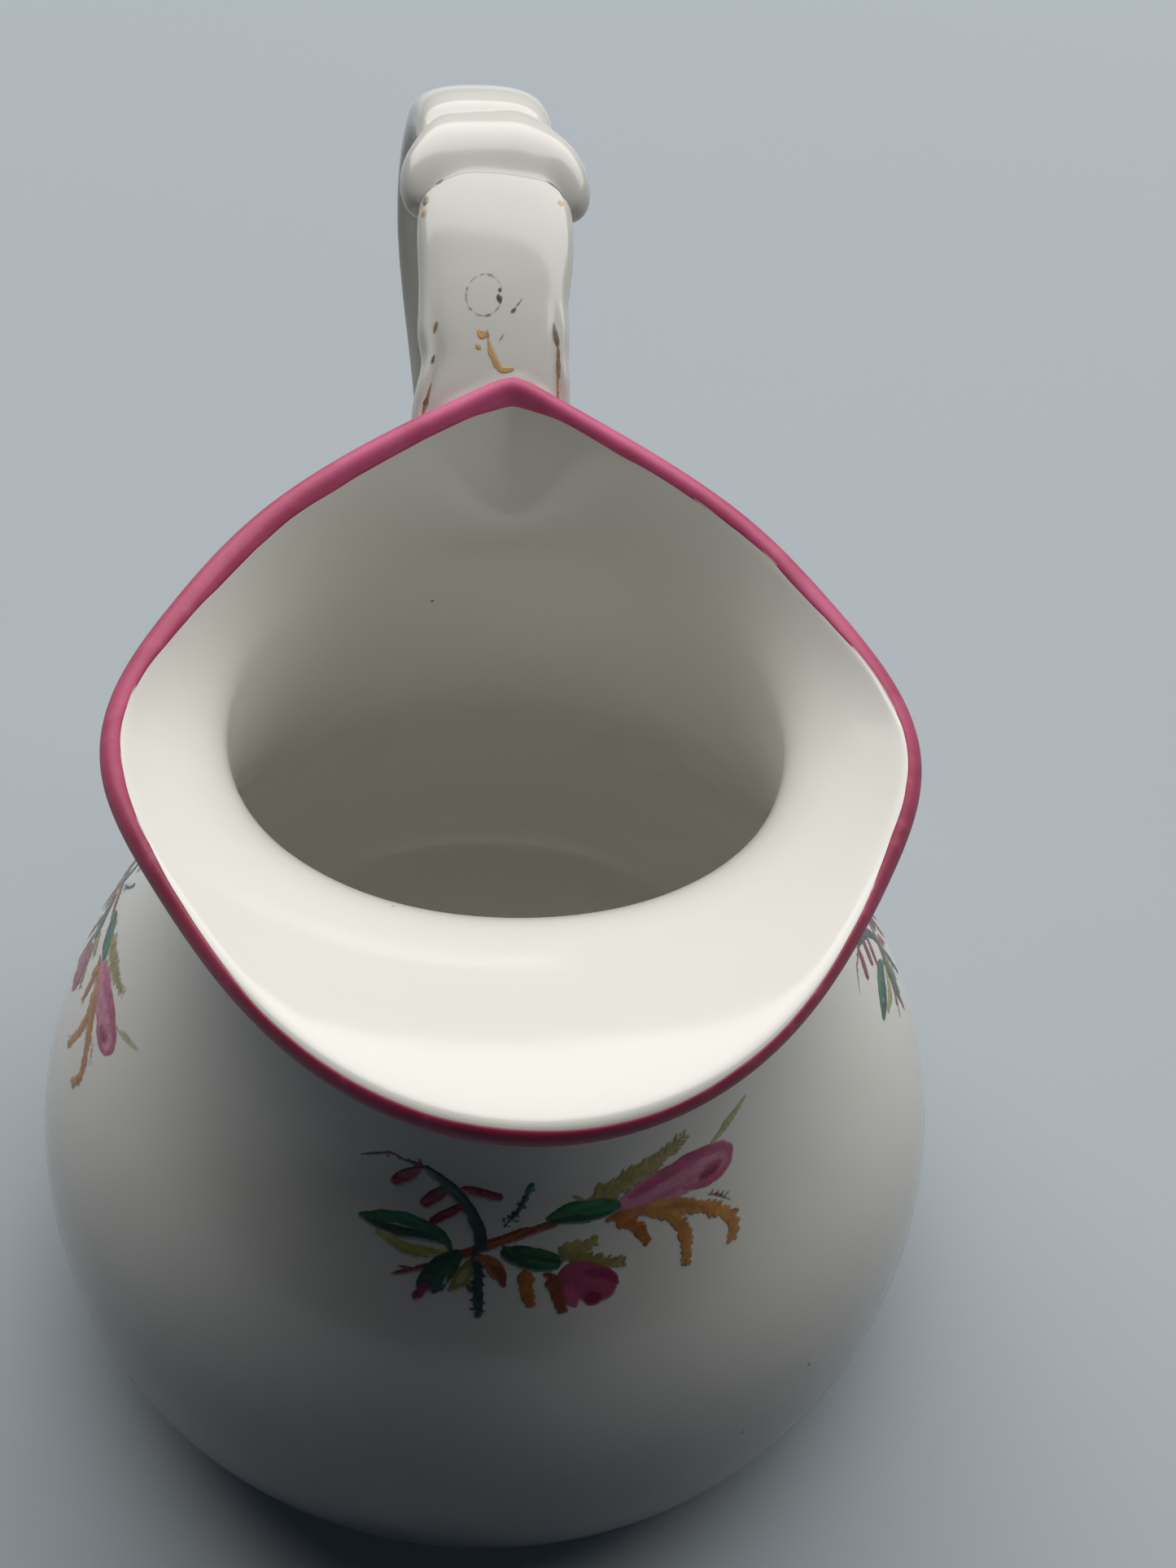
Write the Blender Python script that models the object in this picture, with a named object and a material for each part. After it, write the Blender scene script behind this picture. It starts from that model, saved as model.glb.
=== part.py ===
"""Porcelain cream jug: a bell-shaped cast body with a flared, pinched mouth, a strap handle stuck on
at the back, and a moulded band round the handle's crest.

Run with: blender --background --python part.py
Metres, +Z up. The spout points to -Y and the handle to +Y. The origin is the centre of the base of
the whole jug's box. Inside the script the body's axis is x = y = 0 until the last step.
"""

import math

import bmesh
import bpy
import numpy as np
from mathutils import Matrix, Vector

# Body
BELLY_RADIUS = 0.0480
BELLY_HEIGHT = 0.0203
NECK_RADIUS = 0.0277
NECK_HEIGHT = 0.0780
NECK_PULL = 0.50
BELLY_PULL = 0.44
WALL = 0.0027
FLOOR = 0.0040
FOOT_RADIUS = 0.0330
FOOT_WIDTH = 0.0034
FOOT_HEIGHT = 0.0020
FOOT_CHAMFER = 0.0010
TUCK_PULL = 0.35
TUCK_REACH = 0.75
TUCK_END = 0.06
BOWL_REACH = 0.62
BOWL_PULL = 0.20

# The pulls above are shares of each curve's height or width, and say how far it stays on its tangent.

# Mouth: radii of its edge every 30 degrees, from the handle round to the spout
MOUTH_RADII = (0.0282, 0.0275, 0.0281, 0.0315, 0.0372, 0.0449, 0.0539)
MOUTH_POINT = 0.0051
MOUTH_POINT_SPREAD = math.radians(15)
MOUTH_HEIGHTS = (0.0913, 0.0880, 0.0935)
MOUTH_PEAK = 0.0017
MOUTH_PEAK_SPREAD = math.radians(12)

# Lip: the edge's slope above level at the handle, the sides and the spout
LIP_SLOPES = (math.radians(70), math.radians(62), math.radians(15))
LIP_THICKNESS = 0.0024
NECK_TENSION = 0.26
LIP_TENSION = 0.32

# Handle: a strap swept along three Bezier arcs in the plane of the spout
STRAP_WIDTH = 0.0146
STRAP_THICKNESS = 0.0052
ROUNDNESS = 2.6
HANDLE_ROOT_DEPTH = 0.0063
HANDLE_ROOT_DROP = 0.0100
HANDLE_ROOT_PULL = (0.406, 0.508)
HANDLE_CREST_RISE = 0.0098
HANDLE_CREST_REACH = 0.0630
HANDLE_CREST_PULLS = (0.36, 0.66)
HANDLE_CLEAR_OF_BELLY = 0.0292
HANDLE_LEG_HEIGHT = 0.0840
HANDLE_LEG_PULLS = (0.53, 0.30)
HANDLE_FOOT_HEIGHT = 0.0370
HANDLE_FOOT_PULL = (0.60, 0.21)
HANDLE_BITE = 0.0045
HANDLE_TURN = math.radians(2)

# Band round the crest, between two places along the first arc of the handle
BAND_START = 0.76
BAND_END = 0.97
BAND_PROUD = 0.0016
BAND_KNUCKLE = 0.0028
BAND_EDGE = 0.0006
BAND_SWELL = 0.5

# Gaps between pieces that touch
JOINT_GAP = 0.0003

# Step along a line over which its direction is read, and the distance within which points are one
SMALL_STEP = 1e-5
WELD = 1e-6

# Facets
COLUMNS = 56
WALL_ROWS = 11
FOOT_ROWS = 5
LIP_ROWS = 8
ROUND_ROWS = 2
LIP_FINE_STEPS = 60
STRAP_STEPS = 12
STRAP_SIDES = 16
BAND_STEPS = 10
SHARP_ANGLE = math.radians(40)

PORCELAIN = (0.86, 0.85, 0.81)
GLAZE_ROUGHNESS = 0.12


def bezier(corners, steps):
    """Points along the cubic Bezier arc with these four corners."""
    t = np.linspace(0.0, 1.0, steps + 1)[:, None]
    a, b, c, d = (np.array(corner, float) for corner in corners)
    return (1 - t) ** 3 * a + 3 * (1 - t) ** 2 * t * b + 3 * (1 - t) * t**2 * c + t**3 * d


def offset(points, distance):
    """The same line moved to its left by distance."""
    along = np.gradient(points, axis=0)
    along /= np.linalg.norm(along, axis=1)[:, None]
    return points + distance * np.stack([-along[:, 1], along[:, 0]], axis=1)


def even_wave(values, turn):
    """A smooth, left-right symmetrical value at this turn from the back, through values spaced evenly."""
    stations = np.linspace(0.0, math.pi, len(values))
    order = np.arange(len(values))
    weights = np.linalg.solve(np.cos(np.outer(stations, order)), values)
    return float(np.cos(turn * order) @ weights)


def fade(turn, spread):
    return math.exp(-abs(math.remainder(turn, 2 * math.pi)) / spread)


def mouth_edge(turn):
    """Radius and height of the mouth's edge, turn measured from the handle."""
    radius = even_wave(MOUTH_RADII, turn) + MOUTH_POINT * fade(turn, MOUTH_POINT_SPREAD)
    height = even_wave(MOUTH_HEIGHTS, turn) + MOUTH_PEAK * fade(turn, MOUTH_PEAK_SPREAD)
    return radius, height


def wall_outside():
    """The turned outer wall, from the neck down to the foot, as radius and height."""
    drop = NECK_HEIGHT - BELLY_HEIGHT
    upper = bezier(
        [
            (NECK_RADIUS, NECK_HEIGHT),
            (NECK_RADIUS, NECK_HEIGHT - NECK_PULL * drop),
            (BELLY_RADIUS, BELLY_HEIGHT + BELLY_PULL * drop),
            (BELLY_RADIUS, BELLY_HEIGHT),
        ],
        WALL_ROWS,
    )
    tuck = BELLY_RADIUS - FOOT_RADIUS
    lower = bezier(
        [
            (BELLY_RADIUS, BELLY_HEIGHT),
            (BELLY_RADIUS, FOOT_HEIGHT + TUCK_PULL * (BELLY_HEIGHT - FOOT_HEIGHT)),
            (FOOT_RADIUS + TUCK_REACH * tuck, FOOT_HEIGHT),
            (FOOT_RADIUS + TUCK_END * tuck, FOOT_HEIGHT),
        ],
        FOOT_ROWS,
    )
    return np.vstack([upper, lower[1:]])


def foot_underside():
    """The foot ring's flat and the shallow recess inside it, ending on the axis."""
    ring_inside = FOOT_RADIUS - FOOT_WIDTH
    return np.array(
        [
            (FOOT_RADIUS, 0.0),
            (ring_inside, 0.0),
            (ring_inside - FOOT_CHAMFER, FOOT_HEIGHT),
            (ring_inside / 2, FOOT_HEIGHT),
            (0.0, FOOT_HEIGHT),
        ]
    )


def wall_inside():
    """The turned inner wall, from the floor's centre up to the neck."""
    floor = FOOT_HEIGHT + FLOOR
    inner_belly = BELLY_RADIUS - WALL
    bowl = bezier(
        [
            (0.0, floor),
            (BOWL_REACH * inner_belly, floor),
            (inner_belly, floor + BOWL_PULL * (BELLY_HEIGHT - floor)),
            (inner_belly, BELLY_HEIGHT),
        ],
        FOOT_ROWS + 1,
    )
    upper = offset(wall_outside()[: WALL_ROWS + 1], -WALL)[::-1]
    return np.vstack([bowl, upper[1:]])


def points_at(line, run, places):
    """Points on a line at these lengths along it. run is the length so far at each of its own points."""
    return np.stack([np.interp(places, run, line[:, k]) for k in (0, 1)], axis=1)


def lip_sections(turn, grow=0.0):
    """The lip at one turn: its outer side from neck to edge, and its inner side from edge to neck.

    The lip is a wall of even thickness that bends along a Bezier arc and ends in a half-round.
    """
    edge_radius, edge_height = mouth_edge(turn)
    neck_radius = NECK_RADIUS - WALL / 2
    slope = even_wave(LIP_SLOPES, turn)
    chord = math.hypot(edge_radius - neck_radius, edge_height - NECK_HEIGHT)
    back = LIP_TENSION * chord
    fine = bezier(
        [
            (neck_radius, NECK_HEIGHT),
            (neck_radius, NECK_HEIGHT + NECK_TENSION * chord),
            (edge_radius - back * math.cos(slope), edge_height - back * math.sin(slope)),
            (edge_radius, edge_height),
        ],
        LIP_FINE_STEPS,
    )
    run = np.concatenate([[0.0], np.cumsum(np.linalg.norm(np.diff(fine, axis=0), axis=1))])
    half_round = LIP_THICKNESS / 2
    stem = run[-1] - half_round
    places = stem * np.linspace(0.0, 1.0, LIP_ROWS + 1)
    halves = np.linspace(WALL / 2, half_round, LIP_ROWS + 1) + grow
    quarter = np.linspace(0.0, math.pi / 2, ROUND_ROWS + 1)[1:]
    places = np.concatenate([places, stem + (half_round + grow) * np.sin(quarter)])
    halves = np.concatenate([halves, (half_round + grow) * np.cos(quarter)])
    middle = points_at(fine, run, places)
    end = points_at(fine, run, run[-1:]) - points_at(fine, run, run[-1:] - SMALL_STEP)
    middle = middle + np.maximum(places - run[-1], 0.0)[:, None] * end / SMALL_STEP
    ahead = np.clip(places, SMALL_STEP, run[-1])
    along = points_at(fine, run, ahead) - points_at(fine, run, ahead - SMALL_STEP)
    along /= np.linalg.norm(along, axis=1)[:, None]
    outward = np.stack([along[:, 1], -along[:, 0]], axis=1) * halves[:, None]
    return middle + outward, (middle - outward)[:-1][::-1]


def vessel_section(turn):
    """The whole closed section of the vessel at one turn, from the base's centre to the floor's."""
    lip_out, lip_in = lip_sections(turn)
    outside = np.vstack([foot_underside()[::-1], wall_outside()[::-1]])
    inside = wall_inside()[::-1]
    return np.vstack([outside, lip_out[1:], lip_in[:-1], inside])


def envelope_section(turn):
    """The vessel's outside grown by the joint gap and filled, which trims the handle's ends."""
    lip_out, _ = lip_sections(turn, JOINT_GAP)
    grown = offset(wall_outside()[::-1], -JOINT_GAP)
    ends = [(0.0, -JOINT_GAP), (FOOT_RADIUS, -JOINT_GAP)]
    return np.vstack([ends, grown, lip_out[1:], [(0.0, lip_out[-1][1])]])


def spun(name, section):
    """A solid spun from its section at the back, then drawn out to its section at every turn."""
    mesh = bmesh.new()
    row = mesh.verts.layers.int.new("row")
    chain = [mesh.verts.new((0.0, r, z)) for r, z in section(0.0)]
    for index, vert in enumerate(chain):
        vert[row] = index
    edges = [mesh.edges.new(pair) for pair in zip(chain, chain[1:])]
    bmesh.ops.spin(
        mesh,
        geom=chain + edges,
        cent=(0, 0, 0),
        axis=(0, 0, 1),
        angle=2 * math.pi,
        steps=COLUMNS,
        use_merge=True,
    )
    bmesh.ops.remove_doubles(mesh, verts=mesh.verts, dist=WELD)
    sections = {}
    for vert in mesh.verts:
        column = round(math.atan2(vert.co.x, vert.co.y) * COLUMNS / (2 * math.pi)) % COLUMNS
        turn = column * 2 * math.pi / COLUMNS
        if column not in sections:
            sections[column] = section(turn)
        radius, height = sections[column][vert[row]]
        vert.co = (radius * math.sin(turn), radius * math.cos(turn), height)
    bmesh.ops.recalc_face_normals(mesh, faces=mesh.faces)
    return finished(name, mesh)


def finished(name, mesh):
    """Turns a bmesh into a smooth-shaded object in the scene."""
    data = bpy.data.meshes.new(name)
    mesh.to_mesh(data)
    mesh.free()
    data.shade_smooth()
    data.set_sharp_from_angle(angle=SHARP_ANGLE)
    thing = bpy.data.objects.new(name, data)
    bpy.context.scene.collection.objects.link(thing)
    return thing


def handle_arcs():
    """The strap's centre line as three Bezier arcs of (y, z): up to the crest, over, and down."""
    back_radius, back_height = mouth_edge(0.0)
    root = Vector((back_radius - HANDLE_ROOT_DEPTH, back_height - HANDLE_ROOT_DROP))
    crest = Vector((HANDLE_CREST_REACH, back_height + HANDLE_CREST_RISE))
    leg = Vector((BELLY_RADIUS + HANDLE_CLEAR_OF_BELLY, HANDLE_LEG_HEIGHT))
    wall = wall_outside()[::-1]
    foot_radius = float(np.interp(HANDLE_FOOT_HEIGHT, wall[:, 1], wall[:, 0]))
    foot = Vector((foot_radius - HANDLE_BITE, HANDLE_FOOT_HEIGHT))
    rise = crest.y - root.y
    fall = crest.y - leg.y
    drop = leg.y - foot.y
    out = leg.x - foot.x
    from_root = root + Vector(HANDLE_ROOT_PULL) * rise
    to_crest = crest - Vector((HANDLE_CREST_PULLS[0] * (crest.x - root.x), 0))
    from_crest = crest + Vector((HANDLE_CREST_PULLS[1] * (leg.x - crest.x), 0))
    to_leg = leg + Vector((0, HANDLE_LEG_PULLS[0] * fall))
    from_leg = leg - Vector((0, HANDLE_LEG_PULLS[1] * drop))
    to_foot = foot + Vector((HANDLE_FOOT_PULL[0] * out, HANDLE_FOOT_PULL[1] * drop))
    return [
        (root, from_root, to_crest, crest),
        (crest, from_crest, to_leg, leg),
        (leg, from_leg, to_foot, foot),
    ]


def strap_frames(arc, places):
    """The centre and the outward direction at each of these places (0 to 1) of one arc."""
    frames = []
    a, b, c, d = arc
    for t in places:
        centre = (1 - t) ** 3 * a + 3 * (1 - t) ** 2 * t * b + 3 * (1 - t) * t**2 * c + t**3 * d
        along = (1 - t) ** 2 * (b - a) + 2 * (1 - t) * t * (c - b) + t**2 * (d - c)
        along.normalize()
        outward = Vector((0.0, -along.y, along.x))
        frames.append((Vector((0.0, centre.x, centre.y)), outward))
    return frames


def squircle(width, thickness, sides):
    """A rounded rectangle as across and outward distances, anticlockwise."""
    points = []
    for index in range(sides):
        angle = 2 * math.pi * (index + 0.5) / sides
        c, s = math.cos(angle), math.sin(angle)
        x = math.copysign(abs(c) ** (2 / ROUNDNESS), c) * width / 2
        y = math.copysign(abs(s) ** (2 / ROUNDNESS), s) * thickness / 2
        points.append((x, y))
    return points


def ring(mesh, frame, outline):
    """The corners of this outline set across the strap's path."""
    centre, outward = frame
    return [mesh.verts.new(centre + Vector((x, 0, 0)) + outward * y) for x, y in outline]


def skin(mesh, rings):
    """Quads between each ring and the next."""
    for first, second in zip(rings, rings[1:]):
        for index in range(len(first)):
            after = (index + 1) % len(first)
            mesh.faces.new((first[index], first[after], second[after], second[index]))


def handle_strap():
    mesh = bmesh.new()
    arcs = handle_arcs()
    frames = strap_frames(arcs[0], [k / STRAP_STEPS for k in range(STRAP_STEPS)])
    frames += strap_frames(arcs[1], [k / STRAP_STEPS for k in range(STRAP_STEPS)])
    frames += strap_frames(arcs[2], [k / STRAP_STEPS for k in range(STRAP_STEPS + 1)])
    outline = squircle(STRAP_WIDTH, STRAP_THICKNESS, STRAP_SIDES)
    rings = [ring(mesh, frame, outline) for frame in frames]
    skin(mesh, rings)
    mesh.faces.new(rings[0])
    mesh.faces.new(rings[-1])
    bmesh.ops.recalc_face_normals(mesh, faces=mesh.faces)
    return finished("handle_strap", mesh)


def handle_band():
    """A raised band that goes round the strap, thickest in the middle and at its two knuckles."""
    mesh = bmesh.new()
    step = (BAND_END - BAND_START) / BAND_STEPS
    frames = strap_frames(handle_arcs()[0], [BAND_START + step * k for k in range(BAND_STEPS + 1)])
    hole = (STRAP_WIDTH + 2 * JOINT_GAP, STRAP_THICKNESS + 2 * JOINT_GAP)
    outside, inside = [], []
    for index, frame in enumerate(frames):
        swell = math.sin(math.pi * index / BAND_STEPS) ** BAND_SWELL
        across = hole[0] + 2 * (BAND_EDGE + (BAND_KNUCKLE - BAND_EDGE) * swell)
        deep = hole[1] + 2 * (BAND_EDGE + (BAND_PROUD - BAND_EDGE) * swell)
        outside.append(ring(mesh, frame, squircle(across, deep, STRAP_SIDES)))
        inside.append(ring(mesh, frame, squircle(*hole, STRAP_SIDES)))
    skin(mesh, outside)
    skin(mesh, inside)
    skin(mesh, [outside[0], inside[0]])
    skin(mesh, [outside[-1], inside[-1]])
    bmesh.ops.recalc_face_normals(mesh, faces=mesh.faces)
    return finished("handle_band", mesh)


def glazed(name, colour, roughness):
    material = bpy.data.materials.new(name)
    material.use_nodes = True
    shader = material.node_tree.nodes["Principled BSDF"]
    shader.inputs["Base Color"].default_value = (*colour, 1.0)
    shader.inputs["Roughness"].default_value = roughness
    shader.inputs["Metallic"].default_value = 0.0
    return material


def empty(name):
    marker = bpy.data.objects.new(name, None)
    bpy.context.scene.collection.objects.link(marker)
    return marker


def main():
    for thing in list(bpy.data.objects):
        bpy.data.objects.remove(thing)

    vessel = spun("vessel", vessel_section)
    envelope = spun("vessel_envelope", envelope_section)
    envelope.hide_render = True
    envelope.display_type = "WIRE"
    strap = handle_strap()
    band = handle_band()

    jug = empty("jug")
    handle = empty("handle")
    handle.location.y = mouth_edge(0.0)[0]
    handle.rotation_euler.z = HANDLE_TURN
    handle.parent = jug
    for piece in (vessel, envelope):
        piece.parent = jug
    for piece in (strap, band):
        piece.data.transform(Matrix.Translation(-handle.location))
        piece.parent = handle

    trim = strap.modifiers.new("trim_to_body", "BOOLEAN")
    trim.operation = "DIFFERENCE"
    trim.object = envelope

    for piece in (vessel, strap, band):
        piece.data.materials.append(glazed(piece.name + "_porcelain", PORCELAIN, GLAZE_ROUGHNESS))

    bpy.context.view_layer.update()
    graph = bpy.context.evaluated_depsgraph_get()
    reach = []
    for piece in (vessel, strap, band):
        shape = piece.evaluated_get(graph)
        reach += [(shape.matrix_world @ vert.co).y for vert in shape.data.vertices]
    jug.location.y = -(min(reach) + max(reach)) / 2


main()
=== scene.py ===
import math

import bmesh
import bpy
import numpy as np
from mathutils import Matrix, Vector
from mathutils.bvhtree import BVHTree


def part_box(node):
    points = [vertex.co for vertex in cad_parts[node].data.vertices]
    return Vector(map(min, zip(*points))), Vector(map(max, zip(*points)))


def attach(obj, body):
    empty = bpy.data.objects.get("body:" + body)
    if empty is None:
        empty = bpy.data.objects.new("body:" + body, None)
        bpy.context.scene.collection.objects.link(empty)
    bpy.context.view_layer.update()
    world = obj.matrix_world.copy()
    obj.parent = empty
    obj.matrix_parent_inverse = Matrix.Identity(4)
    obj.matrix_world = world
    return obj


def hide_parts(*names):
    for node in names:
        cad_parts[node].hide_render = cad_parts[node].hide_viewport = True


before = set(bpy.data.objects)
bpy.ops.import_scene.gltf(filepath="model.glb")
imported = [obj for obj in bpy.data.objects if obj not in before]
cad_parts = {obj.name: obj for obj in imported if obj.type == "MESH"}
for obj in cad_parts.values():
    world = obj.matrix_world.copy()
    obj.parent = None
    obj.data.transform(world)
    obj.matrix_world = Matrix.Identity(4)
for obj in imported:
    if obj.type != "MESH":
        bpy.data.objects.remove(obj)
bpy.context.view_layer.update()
print("frame loaded")

_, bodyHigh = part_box("vessel")
axisY = bodyHigh.y - bodyHigh.x  # the belly is round, so its widest x gives its axis


class Wire:
    # one node output, on which sums add Math nodes
    def __init__(self, finish, socket):
        self.finish = finish
        self.socket = socket

    def math(self, operation, *others):
        values = dict(enumerate((self, *others)))
        return self.finish.node("ShaderNodeMath", {"operation": operation}, values)

    def __add__(self, other):
        return self.math("ADD", other)

    def __mul__(self, other):
        return self.math("MULTIPLY", other)

    def __sub__(self, other):
        return self.math("SUBTRACT", other)

    def __rsub__(self, other):
        return self * -1 + other

    def __gt__(self, other):
        return self.math("GREATER_THAN", other)

    def __lt__(self, other):
        return self.math("LESS_THAN", other)

    __radd__ = __add__
    __rmul__ = __mul__


class Finish:
    # a material built from nodes, with its Principled shader's plain sockets set by name
    def __init__(self, name, **plain):
        self.material = bpy.data.materials.new(name)
        self.material.use_nodes = True
        self.tree = self.material.node_tree
        self.shader = self.tree.nodes["Principled BSDF"]
        for socket, value in plain.items():
            self.shader.inputs[socket.replace("_", " ")].default_value = value

    def node(self, kind, settings=None, values=None, output=0):
        made = self.tree.nodes.new(kind)
        for key, value in (settings or {}).items():
            if key == "stops":
                for index, (place, colour) in enumerate(value):
                    stops = made.color_ramp.elements
                    stop = stops[index] if index < len(stops) else stops.new(place)
                    stop.position = place
                    stop.color = colour
            else:
                setattr(made, key, value)
        for key, value in (values or {}).items():
            self.join(made.inputs[key], value)
        return Wire(self, made.outputs[output])

    def join(self, socket, value):
        if isinstance(value, Wire):
            self.tree.links.new(value.socket, socket)
        else:
            socket.default_value = value

    def feed(self, **sockets):
        for socket, value in sockets.items():
            self.join(self.shader.inputs[socket.replace("_", " ")], value)

    def place(self):
        return self.node("ShaderNodeTexCoord", output="Object")

    def noise(self, scale, detail=2.0, where=None):
        values = {"Vector": where or self.place(), "Scale": scale, "Detail": detail}
        return self.node("ShaderNodeTexNoise", None, values, "Fac")

    def ramp(self, factor, low, high):
        # 0 below low and 1 above high, with a straight run between
        settings = {"clamp": True}
        values = {"Value": factor, "From Min": low, "From Max": high}
        return self.node("ShaderNodeMapRange", settings, values)

    def blend(self, factor, first, second, kind="MIX"):
        settings = {"data_type": "RGBA", "blend_type": kind}
        return self.node("ShaderNodeMix", settings, {0: factor, 6: first, 7: second}, 2)

    def bump(self, height, strength, distance):
        values = {"Height": height, "Strength": strength, "Distance": distance}
        return self.node("ShaderNodeBump", None, values)


body = {
    "bellyRadius": 0.0480,
    "bellyHeight": 0.0203,
    "neckRadius": 0.0277,
    "neckHeight": 0.0780,
    "neckPull": 0.50,
    "bellyPull": 0.44,
    "wall": 0.0027,
    "floor": 0.0040,
    "footRadius": 0.0330,
    "footWidth": 0.0034,
    "footHeight": 0.0020,
    "footRound": 0.0005,
    "tuckPull": 0.35,
    "tuckReach": 0.75,
    "tuckEnd": 0.06,
    "bowlReach": 0.56,
    "bowlPull": 0.40,
    "mouthRadii": (0.0282, 0.0275, 0.0281, 0.0315, 0.0372, 0.0449, 0.0543),
    "mouthHeights": (0.0913, 0.0880, 0.0935),
    "tipTurn": math.radians(1.7),
    "tipReach": 0.0051,
    "tipSpread": math.radians(15),
    "tipRise": 0.0017,
    "tipRiseSpread": math.radians(12),
    "tipRound": math.radians(2.0),
    "lipSlopes": (math.radians(70), math.radians(62), math.radians(4)),
    "lipThickness": 0.0024,
    "neckTension": 0.26,
    "lipTensions": (0.32, 0.32, 0.43),
    "lipUnevenness": math.radians(1.3),
    "lipDips": 5,
    "lipDipsStart": 0.3,
    "lipSteps": 120,
    "coreInset": 0.0008,
    "coreFoot": 0.003,
    "coreColumns": 128,
    "columns": 450,
    "wallRows": 44,
    "footRows": 22,
    "lipRows": 26,
    "roundRows": 6,
}


def bezier(corners, steps):
    t = np.linspace(0.0, 1.0, steps + 1)[:, None]
    a, b, c, d = (np.array(corner, float) for corner in corners)
    return (1 - t) ** 3 * a + 3 * (1 - t) ** 2 * t * b + 3 * (1 - t) * t**2 * c + t**3 * d


def offset(points, distance):
    along = np.gradient(points, axis=0)
    along /= np.linalg.norm(along, axis=1)[:, None]
    return points + distance * np.stack([-along[:, 1], along[:, 0]], axis=1)


def evenWave(values, turn):
    # a smooth left-right symmetrical value, through values spaced evenly from back to front
    stations = np.linspace(0.0, math.pi, len(values))
    order = np.arange(len(values))
    weights = np.linalg.solve(np.cos(np.outer(stations, order)), values)
    return float(np.cos(turn * order) @ weights)


def tipFade(turn, spread):
    away = math.remainder(turn - body["tipTurn"], 2 * math.pi)
    away = math.hypot(away, body["tipRound"]) - body["tipRound"]
    return math.exp(-away / spread)


def mouthEdge(turn):
    # radius and height of the mouth's edge, turn measured from the handle towards +X
    b = body
    radius = evenWave(b["mouthRadii"], turn) + b["tipReach"] * tipFade(turn, b["tipSpread"])
    height = evenWave(b["mouthHeights"], turn) + b["tipRise"] * tipFade(turn, b["tipRiseSpread"])
    return radius, height


def wallOutside():
    # radius and height from the neck down to the foot
    b = body
    drop = b["neckHeight"] - b["bellyHeight"]
    tuck = b["bellyRadius"] - b["footRadius"]
    upper = bezier(
        [
            (b["neckRadius"], b["neckHeight"]),
            (b["neckRadius"], b["neckHeight"] - b["neckPull"] * drop),
            (b["bellyRadius"], b["bellyHeight"] + b["bellyPull"] * drop),
            (b["bellyRadius"], b["bellyHeight"]),
        ],
        b["wallRows"],
    )
    lower = bezier(
        [
            (b["bellyRadius"], b["bellyHeight"]),
            (b["bellyRadius"], b["footHeight"] + b["tuckPull"] * (b["bellyHeight"] - b["footHeight"])),
            (b["footRadius"] + b["tuckReach"] * tuck, b["footHeight"]),
            (b["footRadius"] + b["tuckEnd"] * tuck, b["footHeight"]),
        ],
        b["footRows"],
    )
    return np.vstack([upper, lower[1:]])


def footUnderside():
    # the ring's rounded flat and the shallow recess inside it, ending on the axis
    b = body
    inner = b["footRadius"] - b["footWidth"]
    r = b["footRound"]
    return np.array(
        [
            (b["footRadius"] + 0.2 * r, 1.4 * r),
            (b["footRadius"], 0.5 * r),
            (b["footRadius"] - 0.7 * r, 0.0),
            (inner + 0.7 * r, 0.0),
            (inner, 0.5 * r),
            (inner - r, b["footHeight"] - r),
            (inner - 2 * r, b["footHeight"]),
            (inner * 0.66, b["footHeight"]),
            (inner * 0.33, b["footHeight"]),
            (0.0, b["footHeight"]),
        ]
    )


def wallInside():
    b = body
    floor = b["footHeight"] + b["floor"]
    inner = b["bellyRadius"] - b["wall"]
    bowl = bezier(
        [
            (0.0, floor),
            (b["bowlReach"] * inner, floor),
            (inner, floor + b["bowlPull"] * (b["bellyHeight"] - floor)),
            (inner, b["bellyHeight"]),
        ],
        b["footRows"],
    )
    upper = offset(wallOutside()[: b["wallRows"] + 1], -b["wall"])[::-1]
    return np.vstack([bowl, upper[1:]])


def pointsAt(line, run, places):
    return np.stack([np.interp(places, run, line[:, k]) for k in (0, 1)], axis=1)


def lengths(line):
    steps = np.linalg.norm(np.diff(line, axis=0), axis=1)
    return np.concatenate([[0.0], np.cumsum(steps)])


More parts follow.
